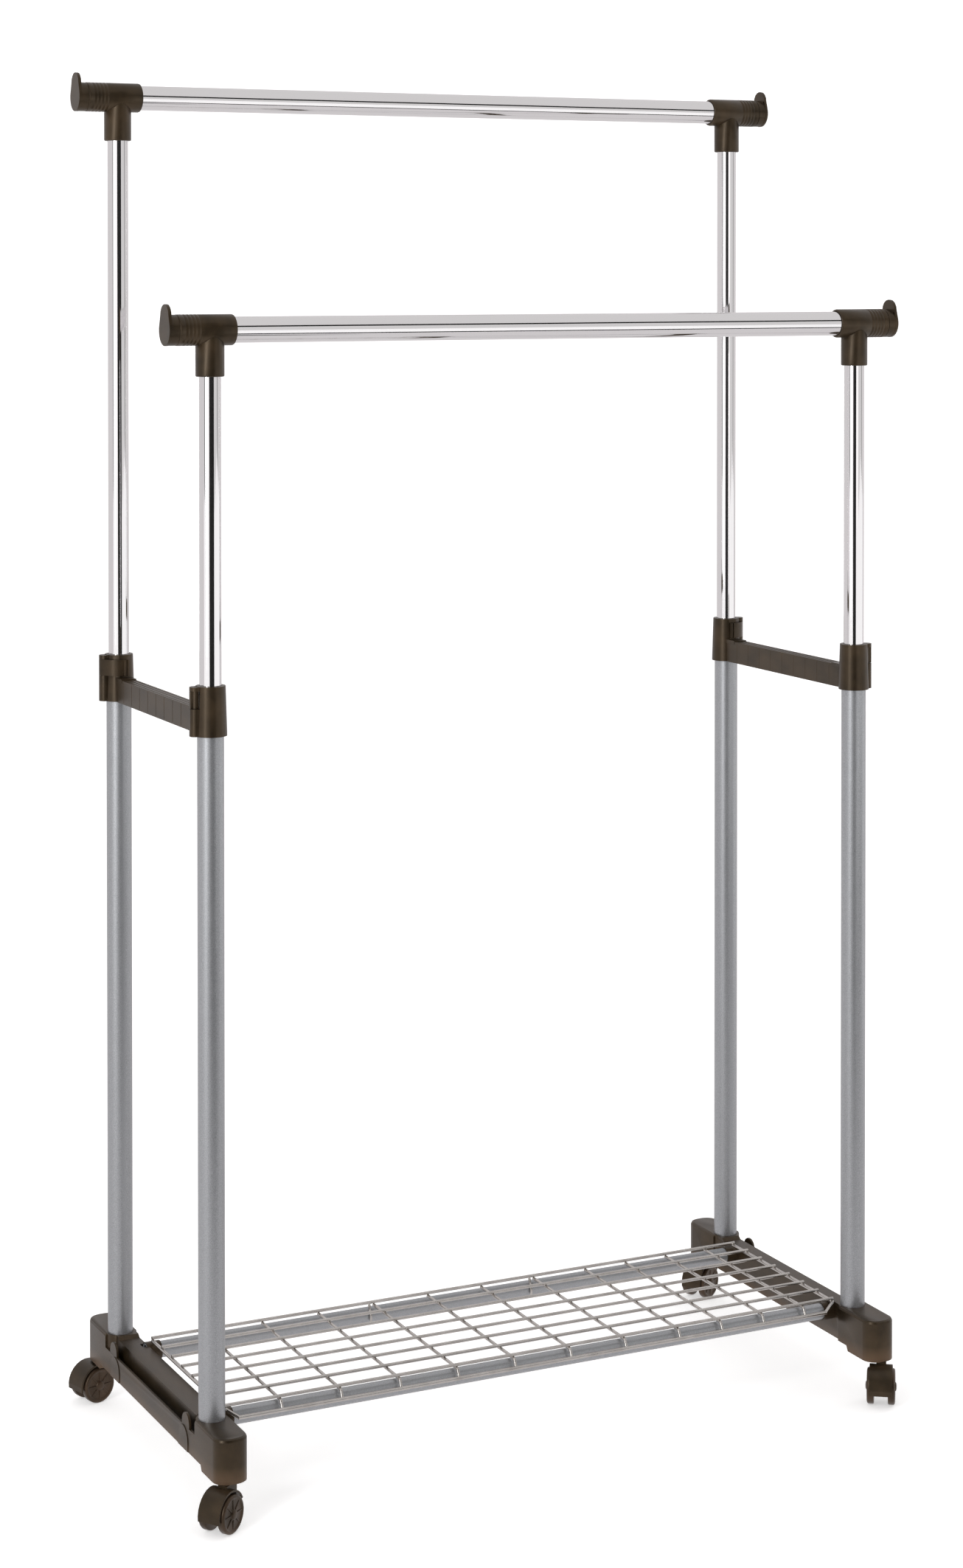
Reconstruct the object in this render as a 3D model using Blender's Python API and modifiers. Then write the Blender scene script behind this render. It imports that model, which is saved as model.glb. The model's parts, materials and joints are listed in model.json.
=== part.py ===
"""Rolling clothes rack with two hanging rails, telescopic uprights and a wire shelf.

Metres, +Z up. The rack stands on the floor at z = 0 with its front at -Y. The front rail hangs
lower than the rear one. Left is -X. "Out" below means away from the middle of the rack along X.
"""

import math

import bpy
import bmesh
from mathutils import Matrix, Vector

# Driving dimensions
SPAN = 0.790  # between the centre lines of the left and right uprights
FRONT_Y = -0.1334  # the turned front casters stick out further than the rear ones,
REAR_Y = 0.1546  # so the uprights stand 10.6 mm behind the middle of the whole box
BASE_TOP = 0.0925
COLLAR_BOTTOM = 0.8053
COLLAR_TOP = 0.8573
FRONT_RAIL_Z = 1.2264
REAR_RAIL_Z = 1.4811
TUBE_R = 0.014
TUBE_BORE_R = 0.013
POST_R = 0.0115
POST_BORE_R = 0.0105
POST_LENGTH = 0.720
RAIL_R = 0.0137
RAIL_BORE_R = 0.0127
WHEEL_R = 0.0200
GAP = 0.0003
ROUND = 20  # sides of a tube

# Foot moulding, measured from the tube's centre line
FOOT_HALF = 0.0185
NOSE_END = 0.065  # forward of the tube to the nose's flat end
NOSE_CORNER = 0.0155
FOOT_UNDER = 0.0463  # block's depth below its top
BEAM_IN = 0.0153
LEDGE_OUT = 0.0088
LEDGE_DROP = 0.0035
WALL_DROP = 0.0155
TROUGH_DROP = 0.0275
BEAM_UNDER = 0.0405
SKIN = 0.0025
PAD_PROUD = 0.0008
SOCKET_DEPTH = 0.036
STEM_AHEAD = 0.055
STEM_OUT = 0.0034

# Side brace
BEAM_HALF = 0.00825
BEAM_HEIGHT = 0.026
SOCKET_TOP = 0.8300
PIVOT_OUT = 0.0163
KNUCKLE_R = 0.0068
LEVER_LOW = 0.8345
LEVER_HIGH = 0.8525
PIN_R = 0.0015
PIN_LOW = 0.8130

# Rail ends, measured outwards from the upright's centre line
SLEEVE_R = 0.0163
SLEEVE_IN = 0.0253
SLEEVE_OUT = 0.038
TEE_COLLAR_R = 0.0151
TEE_DROP = 0.0484
RAIL_OUT = 0.022
CAP_FLANGE = 0.0465
CAP_OUT = 0.050
TAB_RISE = 0.0107

# Shelf
SHELF_TUBE_R = 0.0090
SHELF_TUBE_Z = 0.0817
SHELF_FRONT_Y = -0.1114
SHELF_REAR_Y = 0.1076
CUP_R = 0.0103
CUP_OUT = 0.0145
CROSS_Z = 0.0943
LONG_Z = 0.0977
GRID_HALF = 0.3755
GRID_REAR_Y = 0.1022
GRID_FRONT_Y = -0.1204
LIP_Y = -0.1274
LIP_Z = 0.0852
LIP_HALF = 0.3630
LONG_WIRES = 8
WIRE_R = 0.0018
WIDE_BAY = 0.069
NARROW_BAY = 0.055
LAST_BAY = 0.0405
NARROW_BAYS = 3
WIDE_BAYS = 7
HOOK_X = (-0.112, 0.095)

# Casters, measured back from the stem, along the way the closed back of the hood faces
CASTER_TRAIL = 0.013
AXLE_Z = WHEEL_R * math.cos(math.pi / ROUND)
HOOD_R = 0.0238
HOOD_BORE_R = 0.0215
HOOD_HALF = 0.013
WEB_HALF = 0.006
NECK_HALF = 0.0055
STEM_R = 0.004
AXLE_R = 0.0025
CASTER_TURN = {  # the direction of each hood's closed back, in degrees from +X
    ("front", "left"): 215.7,
    ("front", "right"): 235.0,
    ("rear", "left"): 196.1,
    ("rear", "right"): 209.5,
}

SIDES = {"left": -1.0, "right": 1.0}
ENDS = {"front": -1.0, "rear": 1.0}
UPRIGHT_Y = {"front": FRONT_Y, "rear": REAR_Y}
RAIL_Z = {"front": FRONT_RAIL_Z, "rear": REAR_RAIL_Z}

COLOURS = {
    "smoke_plastic": ((0.060, 0.045, 0.037), 0.42, 0.0),
    "chrome": ((0.86, 0.86, 0.87), 0.06, 1.0),
    "silver_paint": ((0.40, 0.41, 0.44), 0.42, 0.55),
    "zinc_wire": ((0.55, 0.54, 0.53), 0.28, 0.9),
    "steel": ((0.50, 0.50, 0.50), 0.35, 1.0),
    "black_plastic": ((0.03, 0.03, 0.03), 0.5, 0.0),
}


def clear_scene():
    for obj in list(bpy.data.objects):
        bpy.data.objects.remove(obj)


def make_collection(name):
    collection = bpy.data.collections.new(name)
    bpy.context.scene.collection.children.link(collection)
    return collection


def make_material(name):
    colour, roughness, metallic = COLOURS[name]
    material = bpy.data.materials.new(name)
    material.use_nodes = True
    shader = material.node_tree.nodes["Principled BSDF"]
    shader.inputs["Base Color"].default_value = (*colour, 1.0)
    shader.inputs["Roughness"].default_value = roughness
    shader.inputs["Metallic"].default_value = metallic
    return material


def add_object(name, mesh):
    """A new object in the cutters collection; keep() moves it to the parts."""
    obj = bpy.data.objects.new(name, mesh)
    cutters.objects.link(obj)
    obj.hide_render = True
    obj.display_type = "WIRE"
    return obj


def keep(obj, name, material):
    """Turns a helper into a finished part with its own name and material."""
    cutters.objects.unlink(obj)
    rack.objects.link(obj)
    obj.name = name
    obj.hide_render = False
    obj.display_type = "TEXTURED"
    obj.data.materials.clear()
    obj.data.materials.append(materials[material])
    obj.data.shade_smooth()
    obj.data.set_sharp_from_angle(angle=math.radians(35))
    return obj


def move_origin(obj, place):
    """Puts the object's origin at a place in the world and leaves its shape where it is."""
    obj.data.transform(Matrix.Translation(-Vector(place)))
    obj.location = place


def boolean(obj, operation, other):
    modifier = obj.modifiers.new(operation.title(), "BOOLEAN")
    modifier.operation = operation
    modifier.solver = "EXACT"
    modifier.object = other
    return obj


def rod(start, end, radius, sides=ROUND, end_radius=None):
    """A solid cylinder or cone between two points."""
    start, end = Vector(start), Vector(end)
    axis = end - start
    bm = bmesh.new()
    top = radius if end_radius is None else end_radius
    bmesh.ops.create_cone(
        bm, cap_ends=True, segments=sides, radius1=radius, radius2=top, depth=axis.length
    )
    turn = axis.to_track_quat("Z", "Y").to_matrix().to_4x4()
    bmesh.ops.transform(
        bm, matrix=Matrix.Translation((start + end) / 2) @ turn, verts=bm.verts
    )
    mesh = bpy.data.meshes.new("rod")
    bm.to_mesh(mesh)
    bm.free()
    return add_object("rod", mesh)


def box(low, high):
    """A box between two corners."""
    low, high = Vector(low), Vector(high)
    bm = bmesh.new()
    bmesh.ops.create_cube(bm, size=1.0)
    size = high - low
    place = Matrix.Translation((low + high) / 2) @ Matrix.Diagonal((*size, 1.0))
    bmesh.ops.transform(bm, matrix=place, verts=bm.verts)
    mesh = bpy.data.meshes.new("box")
    bm.to_mesh(mesh)
    bm.free()
    return add_object("box", mesh)


def curve_to_mesh(curve, matrix):
    """The filled curve as a closed mesh with its caps welded on."""
    holder = bpy.data.objects.new("outline", curve)
    cutters.objects.link(holder)
    bpy.context.view_layer.update()
    graph = bpy.context.evaluated_depsgraph_get()
    mesh = bpy.data.meshes.new_from_object(holder.evaluated_get(graph))
    bpy.data.objects.remove(holder)
    bm = bmesh.new()
    bm.from_mesh(mesh)
    bmesh.ops.remove_doubles(bm, verts=bm.verts, dist=0.00001)
    bmesh.ops.transform(bm, matrix=matrix, verts=bm.verts)
    bmesh.ops.recalc_face_normals(bm, faces=bm.faces)
    bm.to_mesh(mesh)
    bm.free()
    return add_object("shape", mesh)


def prism(outline, start, end, axis="Z"):
    """A flat outline pushed from start to end along an axis.

    The outline's two numbers are X and Y for axis Z, Y and Z for axis X, X and Z for axis Y.
    """
    curve = bpy.data.curves.new("outline", "CURVE")
    curve.dimensions = "2D"
    curve.fill_mode = "BOTH"
    curve.extrude = abs(end - start) / 2
    spline = curve.splines.new("POLY")
    spline.points.add(len(outline) - 1)
    for point, (u, v) in zip(spline.points, outline):
        point.co = (u, v, 0.0, 1.0)
    spline.use_cyclic_u = True
    middle = (start + end) / 2
    if axis == "Z":
        matrix = Matrix.Translation((0, 0, middle))
    elif axis == "X":
        columns = ((0, 0, 1, middle), (1, 0, 0, 0), (0, 1, 0, 0), (0, 0, 0, 1))
        matrix = Matrix(columns)
    else:
        columns = ((1, 0, 0, 0), (0, 0, -1, middle), (0, 1, 0, 0), (0, 0, 0, 1))
        matrix = Matrix(columns)
    return curve_to_mesh(curve, matrix)


def wire(points, radius, resolution=1):
    """A bent wire of round section through a list of points."""
    curve = bpy.data.curves.new("wire", "CURVE")
    curve.dimensions = "3D"
    curve.bevel_depth = radius / math.cos(math.pi / 6)  # six flat sides, this far out
    curve.bevel_resolution = resolution
    curve.use_fill_caps = True
    spline = curve.splines.new("POLY")
    spline.points.add(len(points) - 1)
    for point, place in zip(spline.points, points):
        point.co = (*place, 1.0)
    return curve_to_mesh(curve, Matrix.Identity(4))


def turned(profile, ring=False, sides=ROUND):
    """A shape turned about Z from (radius, height) points running down the outer side.

    A ring closes its profile; any other profile starts and ends on the axis.
    """
    mesh = bpy.data.meshes.new("turned")
    edges = [(i, i + 1) for i in range(len(profile) - 1)]
    if ring:
        edges.append((len(profile) - 1, 0))
    mesh.from_pydata([(radius, 0.0, height) for radius, height in profile], edges, [])
    obj = add_object("turned", mesh)
    screw = obj.modifiers.new("Screw", "SCREW")
    screw.axis = "Z"
    screw.steps = sides
    screw.render_steps = sides
    screw.use_merge_vertices = True
    screw.merge_threshold = 0.00005
    return obj


def pipe(radius, bore, low, high, sides=ROUND):
    """A tube standing on Z between two heights."""
    profile = [(radius, high), (radius, low), (bore, low), (bore, high)]
    return turned(profile, ring=True, sides=sides)


def arc(centre, radius, start, end, steps):
    """Points along an arc, from one angle to another, in degrees."""
    points = []
    for i in range(steps + 1):
        angle = math.radians(start + (end - start) * i / steps)
        points.append(
            (centre[0] + radius * math.cos(angle), centre[1] + radius * math.sin(angle))
        )
    return points


def soften_top(obj, top, reach, width):
    """Rounds the edges of the top face whose distance along Y from the tube passes reach."""
    bm = bmesh.new()
    bm.from_mesh(obj.data)
    rim = []
    for edge in bm.edges:
        high = all(abs(v.co.z - top) < 1e-6 for v in edge.verts)
        side = any(abs(face.normal.z) < 0.5 for face in edge.link_faces)
        if high and side and reach(edge):
            rim.append(edge)
    bmesh.ops.bevel(bm, geom=rim, offset=width, segments=2, profile=0.5, affect="EDGES")
    bm.to_mesh(obj.data)
    bm.free()


def nose_outline(side, end, y, inset, back):
    """Plan of a foot block: straight sides from `back` to the nose and a rounded end."""
    half = FOOT_HALF - inset
    centre_x = side * SPAN / 2
    corner = NOSE_CORNER - inset
    flat, far = half - corner, NOSE_END - NOSE_CORNER
    shape = [(half, back)] + arc((flat, far), corner, 0, 90, 6)
    shape += arc((-flat, far), corner, 90, 180, 6) + [(-half, back)]
    return [(centre_x + u, y + end * v) for u, v in shape]


def make_base(side_name):
    """One foot: hollow end blocks round the tube sockets, joined by a channelled beam."""
    side = SIDES[side_name]
    centre_x = side * SPAN / 2

    def out(distance):
        return centre_x + side * distance

    beam_outline = [
        (-BEAM_IN, -BEAM_UNDER),
        (-BEAM_IN, -LEDGE_DROP),
        (LEDGE_OUT, -LEDGE_DROP),
        (LEDGE_OUT, -TROUGH_DROP),
        (FOOT_HALF - SKIN, -TROUGH_DROP),
        (FOOT_HALF - SKIN, -WALL_DROP),
        (FOOT_HALF, -WALL_DROP),
        (FOOT_HALF, -BEAM_UNDER),
        (FOOT_HALF - SKIN, -BEAM_UNDER),
        (FOOT_HALF - SKIN, -TROUGH_DROP - SKIN),
        (LEDGE_OUT - SKIN, -TROUGH_DROP - SKIN),
        (LEDGE_OUT - SKIN, -LEDGE_DROP - SKIN),
        (SKIN - BEAM_IN, -LEDGE_DROP - SKIN),
        (SKIN - BEAM_IN, -BEAM_UNDER),
    ]
    outline = [(out(u), BASE_TOP + v) for u, v in beam_outline]
    base = prism(outline, FRONT_Y, REAR_Y, axis="Y")

    for end_name, end in ENDS.items():
        y = UPRIGHT_Y[end_name]
        # The block round the nose, with a soft top edge and a step under its back end.
        under = BASE_TOP - FOOT_UNDER
        block = prism(nose_outline(side, end, y, 0.0, -0.002), under, BASE_TOP)
        soften_top(
            block,
            BASE_TOP,
            lambda edge, y=y, end=end: all(end * (v.co.y - y) > -0.001 for v in edge.verts)
            or any(end * (v.co.y - y) > 0.01 for v in edge.verts),
            0.003,
        )
        step = [
            (y - end * 0.010, under - 0.001),
            (y + end * 0.019, under - 0.001),
            (y + end * 0.0155, BASE_TOP - BEAM_UNDER),
            (y - end * 0.010, BASE_TOP - BEAM_UNDER),
        ]
        boolean(block, "DIFFERENCE", prism(step, centre_x - 0.03, centre_x + 0.03, "X"))
        boolean(base, "UNION", block)
        # The part of the socket that reaches back into the beam, sloping to its ledge.
        low = BASE_TOP - BEAM_UNDER + 0.0005
        slope = [
            (y + end * 0.001, low),
            (y + end * 0.001, BASE_TOP),
            (y - end * 0.0175, BASE_TOP),
            (y - end * 0.0225, BASE_TOP - LEDGE_DROP - 0.0002),
            (y - end * 0.0225, low),
        ]
        across = sorted((out(-BEAM_IN + 0.0002), out(LEDGE_OUT - 0.0002)))
        boolean(base, "UNION", prism(slope, across[0], across[1], "X"))
        boolean(base, "UNION", rod((centre_x, y, low), (centre_x, y, BASE_TOP - 0.0001), 0.0168))
        # A rounded ear stands up from the outer wall just behind the socket.
        ear = arc((0.029, -0.0120), 0.0107, 0, 180, 10)
        ear = [(0.0183, -WALL_DROP - 0.006), (0.0397, -WALL_DROP - 0.006)] + ear
        ear = [(y - end * u, BASE_TOP + v) for u, v in ear]
        wall = sorted((out(FOOT_HALF - SKIN - 0.0001), out(FOOT_HALF - 0.0001)))
        boolean(base, "UNION", prism(ear, wall[0], wall[1], "X"))
        # A low arch-shaped pad stands out from the wall below the ear.
        pad = arc((0.0355, -BEAM_UNDER + 0.0100), 0.0145, 0, 180, 10)
        pad += [(0.0210, -BEAM_UNDER + 0.0002), (0.0500, -BEAM_UNDER + 0.0002)]
        pad = [(y - end * u, BASE_TOP + v) for u, v in pad]
        proud = sorted((out(FOOT_HALF - SKIN / 2), out(FOOT_HALF + PAD_PROUD)))
        boolean(base, "UNION", prism(pad, proud[0], proud[1], "X"))
        # A cup on the inner face takes the end of the shelf tube.
        cup_y = SHELF_FRONT_Y if end_name == "front" else SHELF_REAR_Y
        cup_start = (out(-BEAM_IN + SKIN), cup_y, SHELF_TUBE_Z)
        cup_end = (out(-BEAM_IN - CUP_OUT), cup_y, SHELF_TUBE_Z)
        boolean(base, "UNION", rod(cup_start, cup_end, CUP_R))
        # Hollow of the nose, open underneath, with a boss for the caster's stem.
        hollow = nose_outline(side, end, y, SKIN, 0.0195)
        boolean(base, "DIFFERENCE", prism(hollow, under - 0.001, BASE_TOP - SKIN - 0.001))
        stem_x, stem_y = out(STEM_OUT), y + end * STEM_AHEAD
        boss_low, boss_high = (stem_x, stem_y, under + 0.0002), (stem_x, stem_y, BASE_TOP - 0.0025)
        boolean(base, "UNION", rod(boss_low, boss_high, 0.0075, sides=16))
        bore_low, bore_high = (stem_x, stem_y, under - 0.001), (stem_x, stem_y, BASE_TOP - 0.014)
        boolean(base, "DIFFERENCE", rod(bore_low, bore_high, STEM_R + GAP, sides=16))
        socket_low = (centre_x, y, BASE_TOP - SOCKET_DEPTH)
        socket_high = (centre_x, y, BASE_TOP + 0.002)
        boolean(base, "DIFFERENCE", rod(socket_low, socket_high, TUBE_R + GAP))
        cup_floor = (out(-BEAM_IN + SKIN + 0.0045), cup_y, SHELF_TUBE_Z)
        cup_mouth = (out(-BEAM_IN - CUP_OUT - 0.002), cup_y, SHELF_TUBE_Z)
        boolean(base, "DIFFERENCE", rod(cup_floor, cup_mouth, SHELF_TUBE_R + GAP))
    return keep(base, f"base_{side_name}", "smoke_plastic")


def make_lower_tube(side_name, end_name):
    low = BASE_TOP - SOCKET_DEPTH + GAP
    tube = pipe(TUBE_R, TUBE_BORE_R, low, SOCKET_TOP - GAP)
    tube.location = (SIDES[side_name] * SPAN / 2, UPRIGHT_Y[end_name], 0.0)
    return keep(tube, f"lower_tube_{end_name}_{side_name}", "silver_paint")


def make_upper_tube(side_name, end_name):
    top = RAIL_Z[end_name] - RAIL_R - 2 * GAP
    tube = pipe(POST_R, POST_BORE_R, top - POST_LENGTH, top)
    tube.location = (SIDES[side_name] * SPAN / 2, UPRIGHT_Y[end_name], 0.0)
    return keep(tube, f"upper_tube_{end_name}_{side_name}", "chrome")


def make_guide_bush(side_name, end_name):
    """The plug at the foot of an upper tube, which slides inside the lower one."""
    foot = RAIL_Z[end_name] - RAIL_R - 2 * GAP - POST_LENGTH
    spigot = POST_BORE_R - 2 * GAP
    flange = TUBE_BORE_R - 2 * GAP
    profile = [
        (0.0, foot + 0.012),
        (spigot, foot + 0.012),
        (spigot, foot - GAP),
        (flange, foot - GAP),
        (flange, foot - 0.010),
        (0.0, foot - 0.010),
    ]
    bush = turned(profile)
    bush.location = (SIDES[side_name] * SPAN / 2, UPRIGHT_Y[end_name], 0.0)
    return keep(bush, f"guide_bush_{end_name}_{side_name}", "black_plastic")


def make_rail(end_name):
    reach = SPAN / 2 + RAIL_OUT
    rail = pipe(RAIL_R, RAIL_BORE_R, -reach, reach)
    rail.rotation_euler = (0.0, math.pi / 2, 0.0)
    rail.location = (0.0, UPRIGHT_Y[end_name], RAIL_Z[end_name])
    return keep(rail, f"rail_{end_name}", "chrome")


def make_tee(side_name, end_name):
    """A sleeve on the end of a rail with a collar below it for the upright."""
    side = SIDES[side_name]
    x, y, z = side * SPAN / 2, UPRIGHT_Y[end_name], RAIL_Z[end_name]
    tee = rod((x - side * SLEEVE_IN, y, z), (x + side * SLEEVE_OUT, y, z), SLEEVE_R)
    boolean(tee, "UNION", rod((x, y, z - TEE_DROP), (x, y, z), TEE_COLLAR_R))
    bore = rod((x - side * 0.03, y, z), (x + side * 0.045, y, z), RAIL_R + GAP)
    boolean(tee, "DIFFERENCE", bore)
    collar = rod((x, y, z - TEE_DROP - 0.002), (x, y, z - 0.006), POST_R + GAP)
    boolean(tee, "DIFFERENCE", collar)
    move_origin(tee, (x, y, z))
    return keep(tee, f"tee_{end_name}_{side_name}", "smoke_plastic")


def make_end_cap(side_name, end_name):
    """A plug for the sleeve with a flange whose tab stops hangers sliding off."""
    side = SIDES[side_name]
    x, y, z = side * SPAN / 2, UPRIGHT_Y[end_name], RAIL_Z[end_name]

    def at(distance):
        return (x + side * distance, y, z)

    cap = rod(at(SLEEVE_OUT + GAP), at(CAP_FLANGE + 0.001), SLEEVE_R - 0.0002)
    boolean(cap, "UNION", rod(at(RAIL_OUT + 0.002), at(SLEEVE_OUT + 0.002), RAIL_R - GAP))
    tab_half = 0.0125
    tab_top = SLEEVE_R + TAB_RISE - tab_half
    outline = arc((0.0, tab_top), tab_half, 0, 180, 8) + arc((0.0, 0.0), SLEEVE_R, 160, 380, 16)
    outline = [(y + u, z + v) for u, v in outline]
    faces = sorted((at(CAP_FLANGE)[0], at(CAP_OUT)[0]))
    boolean(cap, "UNION", prism(outline, faces[0], faces[1], "X"))
    move_origin(cap, (x, y, z))
    return keep(cap, f"end_cap_{end_name}_{side_name}", "smoke_plastic")


def make_side_brace(side_name):
    """Two tapered collars joined by a beam, each with a hinge boss on its outer side."""
    side = SIDES[side_name]
    x = side * SPAN / 2
    beam_top = COLLAR_BOTTOM + BEAM_HEIGHT
    brace = box(
        (x - BEAM_HALF, FRONT_Y + 0.0135, COLLAR_BOTTOM + 0.0001),
        (x + BEAM_HALF, REAR_Y - 0.0135, beam_top),
    )
    for end_name, end in ENDS.items():
        y = UPRIGHT_Y[end_name]
        pad_low = (x - BEAM_HALF - 0.0004, y - end * 0.034, beam_top - 0.003)
        pad_high = (x + BEAM_HALF + 0.0004, y - end * 0.0135, beam_top + 0.0012)
        low = tuple(min(pair) for pair in zip(pad_low, pad_high))
        high = tuple(max(pair) for pair in zip(pad_low, pad_high))
        boolean(brace, "UNION", box(low, high))
        collar = rod((x, y, COLLAR_BOTTOM), (x, y, COLLAR_TOP), 0.0174, end_radius=0.0158)
        boolean(brace, "UNION", collar)
        pivot = x + side * PIVOT_OUT
        boss = (pivot, y, COLLAR_BOTTOM + 0.0002), (pivot, y, COLLAR_TOP - 0.0004)
        boolean(brace, "UNION", rod(*boss, KNUCKLE_R, 16))
        window = (pivot, y, LEVER_LOW - GAP), (pivot, y, LEVER_HIGH + GAP)
        boolean(brace, "DIFFERENCE", rod(*window, KNUCKLE_R + 0.0005, 16))
        cuts = (
            ((x, y, COLLAR_BOTTOM - 0.002), (x, y, SOCKET_TOP), TUBE_R + GAP, ROUND),
            ((x, y, SOCKET_TOP - 0.004), (x, y, COLLAR_TOP + 0.002), POST_R + 0.0004, ROUND),
            ((pivot, y, PIN_LOW - 0.0005), (pivot, y, COLLAR_TOP + 0.002), PIN_R + GAP, 12),
        )
        for start, stop, radius, sides in cuts:
            boolean(brace, "DIFFERENCE", rod(start, stop, radius, sides))
    return keep(brace, f"side_brace_{side_name}", "smoke_plastic")


def make_clamp_lever(side_name, end_name):
    """A band that hinges on the brace's boss and hugs the collar, with a ridged finger tab."""
    side, inward = SIDES[side_name], -ENDS[end_name]
    x, y = side * SPAN / 2, UPRIGHT_Y[end_name]
    pivot = (PIVOT_OUT, 0.0)
    band_in, band_out, ridge = 0.0177, 0.0202, 0.0218
    outline = arc(pivot, KNUCKLE_R, -20, 50, 5)
    outline += arc((0, 0), band_out, 30, 88, 6)
    outline += arc((0, 0), ridge, 90, 94, 1) + arc((0, 0), band_out, 95, 96, 1)
    outline += arc((0, 0), ridge, 98, 104, 2)
    outline += arc((0, 0), band_in, 105, 24, 8)
    outline += arc(pivot, 0.0040, 120, 335, 8)
    outline = [(x + side * u, y + inward * v) for u, v in outline]
    lever = prism(outline, LEVER_LOW, LEVER_HIGH)
    hole_x = x + side * PIVOT_OUT
    hole = rod((hole_x, y, LEVER_LOW - 0.001), (hole_x, y, LEVER_HIGH + 0.001), PIN_R + GAP, 12)
    boolean(lever, "DIFFERENCE", hole)
    move_origin(lever, (hole_x, y, LEVER_LOW))
    return keep(lever, f"clamp_lever_{end_name}_{side_name}", "smoke_plastic")


def make_lever_pin(side_name, end_name):
    x = SIDES[side_name] * (SPAN / 2 + PIVOT_OUT)
    y = UPRIGHT_Y[end_name]
    pin = rod((x, y, PIN_LOW), (x, y, COLLAR_TOP - 0.0008), PIN_R, 12)
    return keep(pin, f"lever_pin_{end_name}_{side_name}", "steel")


def make_shelf_tube(end_name):
    reach = SPAN / 2 - BEAM_IN + SKIN
    tube = pipe(SHELF_TUBE_R, SHELF_TUBE_R - 0.0009, -reach, reach)
    tube.rotation_euler = (0.0, math.pi / 2, 0.0)
    y = SHELF_FRONT_Y if end_name == "front" else SHELF_REAR_Y
    tube.location = (0.0, y, SHELF_TUBE_Z)
    return keep(tube, f"shelf_tube_{end_name}", "silver_paint")


def cross_wire_places():
    """X of the inner cross wires: narrow bays at the right end, wide ones further left."""
    places = [GRID_HALF - LAST_BAY]
    for _ in range(NARROW_BAYS):
        places.append(places[-1] - NARROW_BAY)
    for _ in range(WIDE_BAYS):
        places.append(places[-1] - WIDE_BAY)
    return places


def make_shelf_grid():
    """The welded wire shelf, with a lip over the front tube and hooks round the rear one."""
    bundle = bpy.data.collections.new("grid_wires")
    cutters.children.link(bundle)
    strands = []
    turn_y = GRID_FRONT_Y - WIRE_R
    for x in cross_wire_places():
        path = [(x, GRID_REAR_Y, CROSS_Z), (x, turn_y, CROSS_Z), (x, LIP_Y, LIP_Z)]
        strands.append(wire(path, WIRE_R))
    for side in SIDES.values():
        path = [
            (side * GRID_HALF, GRID_REAR_Y, CROSS_Z),
            (side * GRID_HALF, turn_y, CROSS_Z),
            (side * (LIP_HALF - 0.001), LIP_Y, LIP_Z),
        ]
        strands.append(wire(path, WIRE_R + 0.0003))
    pitch = (GRID_REAR_Y - GRID_FRONT_Y) / (LONG_WIRES - 1)
    for i in range(LONG_WIRES):
        y = GRID_REAR_Y - pitch * i
        radius = WIRE_R + 0.0003 if i == 0 else WIRE_R
        ends = [(-GRID_HALF - 0.001, y, LONG_Z), (GRID_HALF + 0.001, y, LONG_Z)]
        strands.append(wire(ends, radius))
    for x in HOOK_X:
        bend = arc((SHELF_REAR_Y, SHELF_TUBE_Z), SHELF_TUBE_R + 0.0025, 135, 200, 3)
        path = [(x, GRID_REAR_Y, LONG_Z)] + [(x, u, v) for u, v in bend]
        strands.append(wire(path, 0.0015))
    for strand in strands:
        cutters.objects.unlink(strand)
        bundle.objects.link(strand)
    lip = wire([(-LIP_HALF, LIP_Y, LIP_Z), (LIP_HALF, LIP_Y, LIP_Z)], WIRE_R + 0.0004)
    modifier = lip.modifiers.new("Weld wires", "BOOLEAN")
    modifier.operation = "UNION"
    modifier.solver = "EXACT"
    modifier.operand_type = "COLLECTION"
    modifier.collection = bundle
    return keep(lip, "shelf_grid", "zinc_wire")


def place_caster_piece(obj, side_name, end_name):
    side, end = SIDES[side_name], ENDS[end_name]
    x = side * (SPAN / 2 + STEM_OUT)
    obj.location = (x, UPRIGHT_Y[end_name] + end * STEM_AHEAD, 0.0)
    obj.rotation_euler = (0.0, 0.0, math.radians(CASTER_TURN[end_name, side_name]))
    return obj


def make_caster_hood(side_name, end_name):
    """Fender over both wheels, web between them, and the neck that holds the stem."""
    axle = (CASTER_TRAIL, AXLE_Z)
    fender = arc(axle, HOOD_R, -10, 155, 12) + arc(axle, HOOD_BORE_R, 155, -10, 12)
    hood = prism(fender, -HOOD_HALF, HOOD_HALF, "Y")
    web = arc(axle, HOOD_R - 0.0012, -7, 148, 8) + [(0.004, AXLE_Z - 0.002)]
    web += arc(axle, 0.006, 220, 290, 3)
    boolean(hood, "UNION", prism(web, -WEB_HALF, WEB_HALF, "Y"))
    neck_top = BASE_TOP - FOOT_UNDER - 0.0008
    neck = box((-0.0085, -NECK_HALF, 0.032), (0.0105, NECK_HALF, neck_top))
    boolean(hood, "UNION", neck)
    bore = rod((axle[0], -0.02, AXLE_Z), (axle[0], 0.02, AXLE_Z), AXLE_R + GAP, 12)
    boolean(hood, "DIFFERENCE", bore)
    boolean(hood, "DIFFERENCE", rod((0, 0, 0.0295), (0, 0, 0.05), STEM_R + GAP, 16))
    for piece in [hood] + [modifier.object for modifier in hood.modifiers]:
        place_caster_piece(piece, side_name, end_name)
    return keep(hood, f"caster_hood_{end_name}_{side_name}", "smoke_plastic")


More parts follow.
